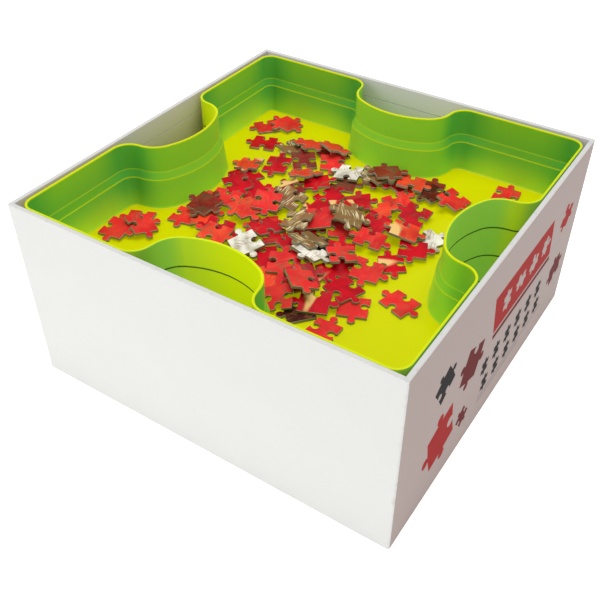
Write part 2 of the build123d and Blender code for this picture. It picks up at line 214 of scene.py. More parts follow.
# ---- node trees ------------------------------------------------------------------------------
class Tree:
    """Adds and joins the nodes of one node tree. Noise scales are in patches to the metre."""

    def __init__(self, tree):
        self.tree = tree

    def node(self, kind, values=None, **settings):
        made = self.tree.nodes.new(kind)
        for name, value in settings.items():
            setattr(made, name, value)
        for name, value in (values or {}).items():
            self.put(made.inputs[name], value)
        return made

    def put(self, socket, value):
        if isinstance(value, bpy.types.NodeSocket):
            self.tree.links.new(value, socket)
        elif socket.type == "RGBA" and len(value) == 3:
            socket.default_value = (*value, 1)
        else:
            socket.default_value = value

    def math(self, operation, first, second=0.0, clamp=False):
        made = self.node("ShaderNodeMath", operation=operation, use_clamp=clamp)
        self.put(made.inputs[0], first)
        self.put(made.inputs[1], second)
        return made.outputs[0]

    def times(self, first, second):
        return self.math("MULTIPLY", first, second)

    def plus(self, first, second):
        return self.math("ADD", first, second)

    def minus(self, first, second):
        return self.math("SUBTRACT", first, second)

    def larger(self, first, second):
        return self.math("MAXIMUM", first, second)

    def vector(self, operation, first, second=(0.0, 0.0, 0.0)):
        made = self.node("ShaderNodeVectorMath", operation=operation)
        self.put(made.inputs[0], first)
        self.put(made.inputs[1], second)
        return made.outputs[0]

    def split(self, vector):
        """A vector's numbers, by the names X, Y and Z."""
        return self.node("ShaderNodeSeparateXYZ", {"Vector": vector}).outputs

    def tinted(self, base, tone):
        """A colour made lighter or darker by a tone about 1."""
        grey = self.node("ShaderNodeCombineXYZ", dict.fromkeys("XYZ", tone)).outputs[0]
        return self.mix(1.0, base, grey, "MULTIPLY")

    def rest(self, share):
        """What a share leaves of 1."""
        return self.minus(1.0, share)

    def mark(self, name):
        """A number that the mesh carries under this name."""
        return self.node("ShaderNodeAttribute", attribute_name=name).outputs["Fac"]

    def ramp(self, value, low, high, start=0.0, end=1.0):
        """A value between low and high, spread smoothly over start to end."""
        made = self.node("ShaderNodeMapRange", interpolation_type="SMOOTHSTEP")
        for socket, given in zip(made.inputs[:5], (value, low, high, start, end)):
            self.put(socket, given)
        return made.outputs[0]

    def mix(self, share, first, second, blend="MIX"):
        made = self.node("ShaderNodeMix", data_type="RGBA", blend_type=blend)
        self.put(made.inputs[0], share)
        self.put(made.inputs[6], first)
        self.put(made.inputs[7], second)
        return made.outputs[2]

    def noise(self, vector, scale, detail=2.0, roughness=0.5, distortion=0.0):
        made = self.node("ShaderNodeTexNoise", {"Vector": vector, "Scale": scale, "Detail": detail,
                                                "Roughness": roughness, "Distortion": distortion})
        return made.outputs["Fac"]

    def group(self, name, **values):
        made = self.node("ShaderNodeGroup", node_tree=bpy.data.node_groups[name])
        for key, value in values.items():
            self.put(made.inputs[key.replace("_", " ")], value)
        return made.outputs


def new_group(name, inputs, outputs):
    """An empty shader node group with these sockets, as its tree, input node and output node."""
    made = bpy.data.node_groups.new(name, "ShaderNodeTree")
    kinds = {"V": "NodeSocketVector", "C": "NodeSocketColor", "F": "NodeSocketFloat"}
    for way, sockets in (("INPUT", inputs), ("OUTPUT", outputs)):
        for socket, kind in sockets:
            made.interface.new_socket(socket, in_out=way, socket_type=kinds[kind])
    tree = Tree(made)
    return tree, tree.node("NodeGroupInput").outputs, tree.node("NodeGroupOutput").inputs


def make_fibres():
    """Paper and board fibres: a tone about 1 and a height."""
    t, given, made = new_group("Fibres", [("Vector", "V"), ("Fineness", "F"), ("Contrast", "F")],
                               [("Tone", "F"), ("Height", "F")])
    place, fineness = given["Vector"], given["Fineness"]
    fine = t.noise(place, fineness, 3.0, 0.6)
    along = t.vector("MULTIPLY", place, (0.16, 1.0, 1.0))
    across = t.vector("MULTIPLY", place, (1.0, 0.16, 0.4))
    strands = t.larger(t.noise(along, fineness, 1.0), t.noise(across, fineness, 1.0))
    cloud = t.noise(place, t.times(fineness, 0.02), 2.0)
    uneven = t.plus(t.minus(strands, 0.58), t.times(t.minus(cloud, 0.5), 0.7))
    t.put(made["Tone"], t.plus(t.times(uneven, given["Contrast"]), 1.0))
    t.put(made["Height"], t.plus(t.times(fine, 0.5), t.times(strands, 0.7)))


def make_rubbing():
    """Where a square box gets rubbed: its upright corners and its rim, in broken patches."""
    t, given, made = new_group("Rubbing", [("Vector", "V"), ("Half Side", "F"), ("Top", "F"),
                                           ("Amount", "F")], [("Mask", "F")])
    spot = t.split(t.vector("ABSOLUTE", given["Vector"]))
    nearer = t.math("MINIMUM", spot["X"], spot["Y"])
    away = t.minus(given["Half Side"], nearer)
    corner = t.ramp(away, 0.5 * MM, 2.8 * MM, 1.0, 0.0)
    rim = t.ramp(t.minus(given["Top"], spot["Z"]), 0.2 * MM, 1.6 * MM, 1.0, 0.0)
    foot = t.ramp(spot["Z"], 0.3 * MM, 2.2 * MM, 1.0, 0.0)
    edges = t.larger(corner, t.larger(rim, foot))
    broken = t.ramp(t.noise(given["Vector"], 190.0, 5.0, 0.7), 0.52, 0.74)
    t.put(made["Mask"], t.times(t.times(edges, broken), given["Amount"]))


def make_moulded():
    """A moulded skin: slow waves, fine grain and hair scratches."""
    t, given, made = new_group("Moulded Skin", [("Vector", "V"), ("Grain", "F")],
                               [("Height", "F"), ("Polish", "F"), ("Cloud", "F")])
    place = given["Vector"]
    waves = t.noise(place, 38.0, 1.0)
    grain = t.noise(place, given["Grain"], 2.0, 0.6)
    hair = t.noise(t.vector("MULTIPLY", place, (30.0, 900.0, 900.0)), 1.0, 2.0, 0.5, 0.4)
    scratch = t.ramp(hair, 0.70, 0.76)
    height = t.plus(t.times(waves, 3.0), t.times(grain, 0.12))
    t.put(made["Height"], t.minus(height, t.times(scratch, 0.1)))
    t.put(made["Polish"], t.plus(t.times(grain, 0.5), t.times(scratch, 0.5)))
    t.put(made["Cloud"], t.noise(place, 12.0, 2.0))


def make_picture():
    """Part of a printed picture, with its print grain.

    Patches of two inks carry smudges and shading, then hairs. Pieces with a chance over 0.84 have
    pale stripes too.
    """
    t, given, made = new_group(
        "Picture Print",
        [("Vector", "V"), ("Size", "F"), ("Ink", "C"), ("Second Ink", "C"), ("Patches", "F"),
         ("Hair Ink", "C"), ("Hairs", "F"), ("Chance", "F")],
        [("Colour", "C"), ("Height", "F")])
    place = given["Vector"]
    scale = t.math("DIVIDE", 1.0, given["Size"])
    patch = t.ramp(t.noise(place, scale, 2.0, 0.45, 0.6), 0.46, 0.66)
    ground = t.mix(t.times(patch, given["Patches"]), given["Ink"], given["Second Ink"])

    elsewhere = t.vector("ADD", place, (0.3, 0.1, 0.0))
    smudge = t.ramp(t.noise(elsewhere, t.times(scale, 1.3), 3.0, 0.6, 0.8), 0.54, 0.70)
    ground = t.mix(t.times(smudge, 0.55), ground, ink(128, 88, 58))
    shade = t.noise(place, t.times(scale, 0.6), 1.0)
    ground = t.tinted(ground, t.plus(t.times(shade, 0.9), 0.55))

    sway = t.node("ShaderNodeTexNoise", {"Vector": place, "Scale": 70.0, "Detail": 1.0})
    sway = t.vector("MULTIPLY", sway.outputs["Color"], (6 * MM, 6 * MM, 0.0))
    bent = t.vector("ADD", place, sway)
    strands = t.noise(t.vector("MULTIPLY", bent, (1300.0, 90.0, 1.0)), 1.0, 2.0, 0.55)
    tuft = t.ramp(t.noise(place, t.times(scale, 1.1), 1.0), 0.42, 0.56)
    hairs = t.times(t.ramp(strands, 0.50, 0.60), t.times(tuft, given["Hairs"]))
    ground = t.mix(hairs, ground, given["Hair Ink"])

    stripe = t.noise(t.vector("MULTIPLY", place, (90.0, 18.0, 1.0)), 1.0, 1.0, 0.3)
    chosen = t.math("GREATER_THAN", given["Chance"], 0.84)
    stripe = t.times(t.ramp(stripe, 0.58, 0.66), chosen)
    t.put(made["Colour"], t.mix(t.times(stripe, 0.85), ground, ink(248, 206, 132)))
    t.put(made["Height"], t.noise(place, 2600.0, 1.0))


def make_cut_board():
    """The cut side of a jigsaw piece: a torn pale skin over layers of board."""
    t, given, made = new_group("Cut Board", [("Vector", "V"), ("Layer", "F"), ("Board", "C")],
                               [("Colour", "C"), ("Height", "F")])
    ply = t.node("ShaderNodeCombineXYZ", {"X": t.times(given["Layer"], 14.0)}).outputs[0]
    along = t.vector("MULTIPLY", given["Vector"], (160.0, 160.0, 40.0))
    layered = t.noise(t.vector("ADD", along, ply), 1.0, 3.0, 0.6)
    dark, pale = ink(20, 20, 10), ink(236, 230, 214)
    core = t.mix(t.ramp(layered, 0.30, 0.72), t.mix(0.62, given["Board"], dark),
                 t.mix(0.35, given["Board"], pale))
    skin = t.plus(given["Layer"], t.times(t.noise(given["Vector"], 900.0, 2.0), 0.16))
    t.put(made["Colour"], t.mix(t.ramp(skin, 0.88, 0.97), core, ink(206, 198, 184)))
    t.put(made["Height"], layered)


def shader(name, **constants):
    """A material's tree and its Principled BSDF, with constants set on its own sockets."""
    made = bpy.data.materials.new(name)
    made.use_nodes = True
    bsdf = made.node_tree.nodes["Principled BSDF"]
    for key, value in constants.items():
        bsdf.inputs[key.replace("_", " ")].default_value = value
    return made, Tree(made.node_tree), bsdf.inputs


def bump(t, surface, height, depth):
    """Relief on a surface, as deep as depth where the height is 1."""
    made = t.node("ShaderNodeBump", {"Height": height, "Distance": depth, "Strength": 1.0})
    t.put(surface["Normal"], made.outputs[0])


def paper(name, base, roughness, contrast=0.05, fineness=1500.0, wear=0.0, shade=0.0,
          top_shade=0.0):
    """Paper or board: fibres, the rubbing a box gets, painted shade inside it and on its rim."""
    box = bpy.context.scene.case_box
    made, t, surface = shader(name, Specular_IOR_Level=0.06)
    texture = t.node("ShaderNodeTexCoord")
    place = texture.outputs["Object"]
    fibres = t.group("Fibres", Vector=place, Fineness=fineness, Contrast=contrast)
    rubbed = t.group("Rubbing", Vector=place, Half_Side=box.side / 2, Top=BOX_TOP, Amount=wear)
    facing = t.split(texture.outputs["Normal"])
    # Painted shade: darker low down on walls that face right, and darker on the rim's top.
    deep = t.ramp(t.split(place)["Z"], BOX_TOP - box.shade_depth, BOX_TOP, shade, shade / 4)
    dim = t.math("MULTIPLY", facing["X"], deep, clamp=True)
    dim = t.larger(dim, t.ramp(facing["Z"], 0.5, 0.9, 0.0, top_shade))
    tone = t.times(fibres["Tone"], t.rest(dim))
    t.put(surface["Base Color"], t.mix(rubbed["Mask"], t.tinted(base, tone), box.board))
    uneven = t.times(fibres["Height"], 0.16)
    t.put(surface["Roughness"], t.plus(uneven, roughness))
    sunk = t.minus(fibres["Height"], t.times(rubbed["Mask"], 1.5))
    bump(t, surface, sunk, 0.03 * MM)
    return made


def line_along(t, tray, height, line, strength, half=0.0):
    """How strongly a painted line at one height shows: in full out to half, and then fading."""
    away = t.math("ABSOLUTE", t.minus(height, line))
    return t.ramp(away, half, half + tray.line_half, strength, 0.0)


def colour_inside(t, tray, height, nook, bay):
    """The inner wall, with its light painted in.

    Colours by height, a painted glow through a finger bay, painted shade in a hollow corner
    and painted highlights along the edges of the slope.
    """
    slope_low, slope_high = tray.ledge - tray.slope_below, tray.ledge + tray.slope_above
    # Painted light by height: lighter and yellower at the foot, to make up for shade low down.
    wall = t.mix(t.ramp(height, tray.wall, slope_low), tray.lower, tray.upright)
    wall = t.mix(t.ramp(height, slope_high, tray.height), wall, tray.brim)
    # Painted light: a finger bay's wall looks lit through from its far side.
    wall = t.mix(t.times(bay, 0.8), wall, tray.through)
    on_slope = t.times(t.ramp(height, slope_low, slope_low + MM),
                       t.ramp(height, slope_high - MM, slope_high, 1.0, 0.0))
    wall = t.mix(on_slope, wall, t.mix(t.times(bay, 0.6), tray.slope, tray.through))
    # Painted shade in a hollow corner.
    gloom = t.ramp(height, tray.wall, slope_low, 0.45, 0.95)
    wall = t.mix(t.times(nook, gloom), wall, tray.deep)
    # Painted highlights along the slope's lower and upper edges.
    lines = t.plus(line_along(t, tray, height, slope_low, 0.8),
                   line_along(t, tray, height, slope_high, 0.45))
    return t.mix(lines, wall, tray.rim)


def colour_outside(t, tray, height, facing, bay, across):
    """The outer wall: painted lit yellow towards the light at the front left and painted
    shaded green away from it, with a painted shadow in the seam.

    The bay on the right gets painted shade all round.
    """
    sunward = t.plus(t.times(facing["X"], -0.8), t.times(facing["Y"], -0.6))
    right_bay = t.times(bay, t.ramp(across, 70 * MM, 100 * MM))
    sunny = t.times(t.ramp(sunward, -0.5, 0.75), t.rest(right_bay))
    wall = t.mix(sunny, tray.shaded, tray.outside)
    # Painted shadow along the seam under the outer wall.
    return t.mix(line_along(t, tray, height, tray.ledge, 0.95, tray.seam_half), wall, tray.seam)


def lime_plastic():
    """Translucent lime moulding, its light painted in.

    Painted lit yellow where it lies level and painted shaded green where it stands, with
    painted highlights, painted shade in hollow corners and a painted glow.
    """
    tray = bpy.context.scene.case_tray
    made, t, surface = shader("lime_plastic", Specular_IOR_Level=0.08, IOR=1.49,
                              Subsurface_Weight=0.35, Subsurface_Scale=1.0,
                              Subsurface_Radius=(3 * MM, 4 * MM, 1 * MM),
                              Emission_Strength=0.42)
    texture = t.node("ShaderNodeTexCoord")
    place, facing = texture.outputs["Object"], t.split(texture.outputs["Normal"])
    height, inside, nook = (t.mark(name) for name in MARKS)
    skin = t.group("Moulded Skin", Vector=place, Grain=2200.0)

    # The walls of the finger bays are those that stand well inside the tray's square.
    spot = t.split(t.vector("ABSOLUTE", place))
    inset = t.minus(tray.side / 2, t.larger(spot["X"], spot["Y"]))
    bay = t.ramp(inset, tray.bay_start, tray.bay_full)

    wall = t.mix(inside, colour_outside(t, tray, height, facing, bay, t.split(place)["X"]),
                 colour_inside(t, tray, height, nook, bay))
    # Painted light: level faces inside take the lit floor colour.
    level = t.times(t.ramp(facing["Z"], 0.45, 0.85), inside)
    lit = t.mix(level, wall, tray.floor)
    # A painted highlight along the top of the rim.
    brink = t.ramp(height, tray.height - tray.rim_light, tray.height - tray.rim_light / 3)
    brink = t.times(brink, t.larger(inside, t.ramp(facing["Z"], 0.8, 0.95)))
    lit = t.mix(brink, lit, tray.rim)

    # How much of its colour each part gives off as a painted glow, in place of light through it.
    glow = t.larger(t.times(bay, 0.25), t.times(facing["X"], 0.35))
    glow_outside = t.plus(t.times(bay, 0.7), 0.3)
    glow = t.larger(t.times(glow, inside), t.times(glow_outside, t.rest(inside)))
    glow = t.larger(glow, t.times(level, 0.8))

    # The plastic's cloud, and the floor darker by what its painted glow adds back.
    cloud_and_glow_offset = t.plus(t.times(skin["Cloud"], 0.10), t.minus(0.95, t.times(level, 0.32)))
    t.put(surface["Base Color"], t.tinted(lit, cloud_and_glow_offset))
    t.put(surface["Emission Color"], t.tinted(lit, glow))
    t.put(surface["Roughness"], t.plus(t.times(skin["Polish"], 0.10), 0.28))
    bump(t, surface, skin["Height"], 0.12 * MM)
    return made


def printed_card(name, main, second, patches, hair, hairs):
    """Printed jigsaw board: the picture on top, cut board at the sides and underneath."""
    piece = bpy.context.scene.case_piece
    made, t, surface = shader(name, Specular_IOR_Level=0.1)
    uv = t.node("ShaderNodeUVMap", uv_map="print").outputs[0]
    texture = t.node("ShaderNodeTexCoord")
    picture = t.group("Picture Print", Vector=uv, Size=piece.print_size, Ink=main,
                      Second_Ink=second, Patches=patches, Hair_Ink=hair, Hairs=hairs,
                      Chance=t.mark("chance"))
    cut = t.group("Cut Board", Vector=texture.outputs["Object"], Layer=t.mark("layer"),
                  Board=piece.board)
    on_top = t.ramp(t.split(texture.outputs["Normal"])["Z"], 0.45, 0.62)
    t.put(surface["Base Color"], t.mix(on_top, cut["Colour"], picture["Colour"]))
    t.put(surface["Roughness"], t.minus(0.85, t.times(on_top, 0.45)))
    t.put(surface["Coat Weight"], t.times(on_top, 0.05))
    grain = t.times(on_top, t.times(picture["Height"], 0.1))
    plies = t.times(t.rest(on_top), cut["Height"])
    bump(t, surface, t.plus(grain, plies), 0.12 * MM)
    return made


# ---- shapes ----------------------------------------------------------------------------------
def rounded(corners, steps=4):
    """A line through corners (across, up, radius), each rounded, as (across, up) points."""
    points = []
    for i, (x, z, radius) in enumerate(corners):
        here = Vector((x, z))
        if radius <= 0 or i in (0, len(corners) - 1):
            points.append(here)
            continue
        back = (Vector(corners[i - 1][:2]) - here).normalized()
        on = (Vector(corners[i + 1][:2]) - here).normalized()
        half = back.angle(on) / 2
        reach = radius / math.tan(half)
        middle = here + (back + on).normalized() * radius / math.sin(half)
        start, end = here + back * reach - middle, here + on * reach - middle
        turn = start.angle_signed(end)
        for k in range(steps + 1):
            points.append(middle + Matrix.Rotation(-turn * k / steps, 2) @ start)
    return points


def arc(middle, radius, start, end, steps, bulge=1):
    """Points and outward directions along an arc; bulge is -1 where the outside is inwards."""
    made = []
    for k in range(steps + 1):
        angle = start + (end - start) * k / steps
        out = Vector((math.cos(angle), math.sin(angle)))
        made.append((middle + out * radius, out * bulge))
    return made


def straight(start, end, out, spacing):
    """Points between two ends of a straight wall, without the ends."""
    count = max(1, round((end - start).length / spacing))
    return [(start.lerp(end, k / count), out) for k in range(1, count)]


def bay_side(tray):
    """The back side of a tray's plan, from its right corner to its left.

    A finger bay is two rounded corners at its mouth, two leaning sides, two rounded corners at its
    waist and a bowed back. Each point comes with the direction that is outwards there.
    """
    rim, waist, mouth = tray.side / 2, tray.bay_waist / 2, tray.bay_mouth / 2
    back_y = rim - tray.bay_depth
    corner_y = back_y + tray.bay_bow
    bow_radius = (waist**2 + tray.bay_bow**2) / (2 * tray.bay_bow)
    hub = Vector((0, back_y + bow_radius))
    foot, top = Vector((waist, corner_y)), Vector((mouth, rim))
    along = (top - foot).normalized()
    into = Vector((-along.y, along.x))
    start = foot + into * tray.waist_round - hub
    reach = bow_radius - tray.waist_round
    step = -start.dot(along) - math.sqrt(start.dot(along)**2 - start.length_squared + reach**2)
    waist_hub = hub + start + along * step
    lip = tray.mouth_round
    lip_y = rim - lip
    lip_x = (foot - into * lip + along * ((lip_y - foot.y + into.y * lip) / along.y)).x
    lip_hub = Vector((lip_x, lip_y))
    side_angle = math.atan2(into.y, into.x)
    joint = waist_hub - hub
    joint_angle = math.atan2(joint.y, joint.x)
    half = arc(lip_hub, lip, math.pi / 2, side_angle, steps=9)
    low = arc(waist_hub, tray.waist_round, side_angle - math.pi, joint_angle, steps=12, bulge=-1)
    half += straight(half[-1][0], low[0][0], into, spacing=5 * MM) + low
    half += arc(hub, bow_radius, joint_angle, -math.pi / 2, steps=5, bulge=-1)[1:]
    mirrored = [(Vector((-p.x, p.y)), Vector((-n.x, n.y))) for p, n in reversed(half[:-1])]
    corner_hub = Vector((rim - tray.corner, rim - tray.corner))
    corner = arc(corner_hub, tray.corner, 0, math.pi / 2, steps=8)
    run = straight(corner[-1][0], half[0][0], Vector((0, 1)), spacing=9 * MM)
    far = [(Vector((-p.x, p.y)), n) for p, n in reversed(run)]
    return corner + run + half + mirrored + far


def tray_plan(tray):
    """The whole plan, going round anticlockwise."""
    side = bay_side(tray)
    plan = []
    for k in range(4):
        turn = Matrix.Rotation(math.pi / 2 * k, 2)
        plan += [(turn @ p, turn @ n) for p, n in side]
    return plan


def sweep(bm, rings):
    """Quads between rings that have as many points each, and the rings' vertices."""
    rows = [[bm.verts.new(p) for p in ring] for ring in rings]
    for low, high in zip(rows, rows[1:]):
        for i in range(len(low)):
            j = (i + 1) % len(low)
            bm.faces.new((low[i], low[j], high[j], high[i]))
    return rows


def add_face(bm, verts, out):
    """A new face, turned to face out."""
    made = bm.faces.new(verts)
    made.normal_update()
    if made.normal.dot(out) < 0:
        made.normal_flip()
    return made


def cap(bm, ring, z, spacing, facing, mark=None):
    """A level floor inside a ring, in even triangles that face 1 up or -1 down.

    Its vertices get 1 in the mark, where one is given.
    """
    outline = [Vector(p[:2]) for p in ring]
    count = len(outline)
    tree = kdtree.KDTree(count)
    for i, p in enumerate(outline):
        tree.insert(p.to_3d(), i)
    tree.balance()
    reach = max(max(abs(p.x), abs(p.y)) for p in outline)
    steps = int(reach / spacing)
    points = list(outline)
    for i in range(-steps, steps + 1):
        for j in range(-steps, steps + 1):
            p = Vector((i * spacing + (j % 2) * spacing / 2, j * spacing))
            if tree.find(p.to_3d())[2] > spacing * 0.6:  # well off the outline
                points.append(p)
    edges = [(i, (i + 1) % count) for i in range(count)]
    flat, _, faces, _, _, _ = geometry.delaunay_2d_cdt(
        points, edges, [list(range(count))], KEEP_INSIDE, MERGE / 10)
    verts = [bm.verts.new((p.x, p.y, z)) for p in flat]
    if mark:
        for vert in verts:
            vert[mark] = 1.0
    for face in faces:
        add_face(bm, [verts[i] for i in face], Vector((0, 0, facing)))


def finish_mesh(bm, name, smooth=35):
    """A mesh object from a bmesh, smooth but for edges over smooth degrees."""
    mesh = bpy.data.meshes.new(name)
    bm.to_mesh(mesh)
    bm.free()
    mesh.shade_smooth()
    mesh.set_sharp_from_angle(angle=math.radians(smooth))
    made = bpy.data.objects.new(name, mesh)
    bpy.context.scene.collection.objects.link(made)
    return made


def keep_flat(obj):
    """Level faces keep level shading next to their rounded edges."""
    made = obj.modifiers.new("flat faces", "WEIGHTED_NORMAL")
    made.keep_sharp = True
    made.weight = 90


# A printed knob, as shares of its piece's side and degrees round the knob's own middle.
KNOB_OUT, KNOB_RADIUS = 0.12, 0.125
KNOB_START, KNOB_SWEEP, KNOB_STEPS = -52, 284, 14


def jigsaw_outline(x, y, size, turn, kinds):
    """A jigsaw piece's outline: kinds gives each side as 1 for a knob or -1 for a socket."""
    half = size / 2
    corners = [Vector(p) * half for p in ((-1, -1), (1, -1), (1, 1), (-1, 1))]
    points = []
    for i, kind in enumerate(kinds):
        start, end = corners[i], corners[(i + 1) % 4]
        along = (end - start) / size
        out = Vector((along.y, -along.x)) * kind
        middle = (start + end) / 2
        points.append(start)
        for k in range(KNOB_STEPS + 1):
            angle = math.radians(KNOB_START + KNOB_SWEEP * k / KNOB_STEPS)
            points.append(middle + out * size * (KNOB_OUT + KNOB_RADIUS * math.sin(angle))
                          - along * size * KNOB_RADIUS * math.cos(angle))
    spin = Matrix.Rotation(math.radians(turn), 2)
    return [spin @ p + Vector((x, y)) for p in points]


def bar(x0, y0, x1, y1, lean=0.0):
    """A bar's outline, with its top moved along by lean."""
    return [Vector(p) for p in ((x0, y0), (x1, y0), (x1 + lean, y1), (x0 + lean, y1))]


def side_print():
    """The print on the right side: (ink, outline) in millimetres, along the side and up."""
    knobs = ((1, -1, 1, -1), (-1, 1, -1, 1), (1, 1, -1, -1), (1, -1, -1, 1))
    shapes = [("red", bar(-14, 74, 82, 106, -7)), ("dark_red", bar(-13, 68, 84, 72, -1))]
    for k in range(4):
        shapes.append(("grey", jigsaw_outline(2 + 22 * k, 90, 11.5, 8 - 17 * k, knobs[k])))
    for row in range(2):
        for k in range(6):
            odd = (k + row) % 2
            shapes.append(("black", jigsaw_outline(-18 + 18 * k + 5 * row, 50 - 18 * row, 10,
                                                   90 * odd, knobs[odd])))
    for z, end in ((22, 92), (18, 50)):
        shapes.append(("line", bar(-20, z, end, z + 1.2)))
    for name, x, z, size, turn, kinds in (
            ("red", -78, 42, 32, 14, (1, -1, 1, 1)),
            ("dark_red", -44, 74, 25, -20, (1, 1, -1, 1)),
            ("black", -84, 90, 19, 33, (-1, 1, 1, -1)),
            ("dark_red", -46, 30, 13, 40, (1, -1, 1, -1)),
            ("red", 106, 92, 17, -24, (1, 1, -1, -1)),
            ("dark_red", 108, 44, 19, 20, (-1, 1, 1, 1))):
        shapes.append((name, jigsaw_outline(x, z, size, turn, kinds)))
    return shapes


def print_panel(bm, x, y_end, z_low, z_high, inks):
    """The flat of the right side, cut along the outlines of its print."""
    points = bar(-y_end, z_low, y_end, z_high)
    rings = [[0, 1, 2, 3]]
    names = ["grey"]
    for name, outline in side_print():
        rings.append(list(range(len(points), len(points) + len(outline))))
        points += [p * MM for p in outline]
        names.append(name)
    flat, _, faces, _, _, origins = geometry.delaunay_2d_cdt(
        points, [], rings, KEEP_INSIDE, MERGE / 100)
    verts = [bm.verts.new((x, p.x, p.y)) for p in flat]
    for face, origin in zip(faces, origins):
        made = add_face(bm, [verts[i] for i in face], Vector((1, 0, 0)))
        made.material_index = inks[names[max(origin)]]  # of overlapping outlines, the last


def square_ring(half, radius, inset, z, steps=6):
    """Points of a rounded square, set in from its outline."""
    hub = half - max(radius, inset)
    bend = max(radius - inset, 0)
    ring = []
    for k, (sx, sy) in enumerate(((1, 1), (-1, 1), (-1, -1), (1, -1))):
        for step in range(steps + 1):
            angle = math.pi / 2 * (k + step / steps)
            ring.append((sx * hub + bend * math.cos(angle), sy * hub + bend * math.sin(angle), z))
    return ring


# ---- the pieces --------------------------------------------------------------------------------
class CASE_OT_groups(bpy.types.Operator):
    """Make the shader node groups that the materials share"""
    bl_idname = "case.groups"
    bl_label = "Shared effects"

    def execute(self, context):
        make_fibres()
        make_rubbing()
        make_moulded()
        make_picture()
        make_cut_board()
        return {"FINISHED"}


class CASE_OT_wrap(bpy.types.Operator):
    """Fold the printed paper wrap round the box"""
    bl_idname = "case.wrap"
    bl_label = "Paper wrap"

    def execute(self, context):
        box = context.scene.case_box
        half, top = box.side / 2, BOX_TOP
        low_in = top - box.turn_in
        line = rounded([(box.turn_under, 0, 0), (0, 0, box.foot_round), (0, top, box.rim_round),
                        (box.rim_width, top, box.rim_round), (box.rim_width, low_in, 0),
                        (box.rim_width - box.paper, low_in, 0)])
        bm = bmesh.new()
        sweep(bm, [square_ring(half, box.corner, p.x, p.y) for p in line])
        bmesh.ops.remove_doubles(bm, verts=bm.verts, dist=MERGE)

        # The flat of the right side makes way for the same flat, cut along its print.
        flat_area = 0.001  # square metres; the faces of the folds are smaller
        side = [f for f in bm.faces if all(abs(v.co.x - half) < MERGE for v in f.verts)
                and f.calc_area() > flat_area]
        ends = [v.co for f in side for v in f.verts]
        y_end = max(p.y for p in ends)
        z_low, z_high = min(p.z for p in ends), max(p.z for p in ends)
        bmesh.ops.delete(bm, geom=side, context="FACES")
        papers = ("white", "grey", "red", "dark_red", "black", "line", "lining")
        inks = {name: i for i, name in enumerate(papers)}
        # The turn-in takes the lining's paper, and with it the painted wall shade.
        inner = half - 0.9 * box.rim_width
        for face in bm.faces:
            if all(abs(p) < inner for v in face.verts for p in v.co.xy):
                face.material_index = inks["lining"]
        print_panel(bm, half, y_end, z_low, z_high, inks)
        bmesh.ops.remove_doubles(bm, verts=bm.verts, dist=MERGE)
        made = finish_mesh(bm, "printed_paper_wrap")
        for name in papers:
            made.data.materials.append(
                paper(f"wrap_{name}_paper", getattr(box, name), 0.5, wear=box.wear,
                      shade=box.wall_shade if name == "lining" else 0.0, top_shade=box.rim_shade))
        keep_flat(made)
        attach(made, "box")
        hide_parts("outer_wrap")
        return {"FINISHED"}


class CASE_OT_boards(bpy.types.Operator):
    """Dress the greyboards, corner stays, lining and base sheet"""
    bl_idname = "case.boards"
    bl_label = "Boards and linings"

    def execute(self, context):
        box = context.scene.case_box
        greyboard = paper("greyboard", box.board, 0.8, contrast=0.35, fineness=700.0)
        kraft = paper("stay_paper", box.stay, 0.75, contrast=0.15, fineness=1100.0)
        lining = paper("lining_paper", box.lining, 0.6, contrast=0.06, fineness=1400.0,
                       shade=box.wall_shade)
        sheet = paper("base_sheet_paper", box.white, 0.5, wear=0.2)
        dress = {**dict.fromkeys(BOARDS, greyboard), **dict.fromkeys(STAYS, kraft),
                 "inner_liner": lining, "base_sheet": sheet}
        for name, material in dress.items():
            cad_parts[name].material_slots[0].material = material
        return {"FINISHED"}


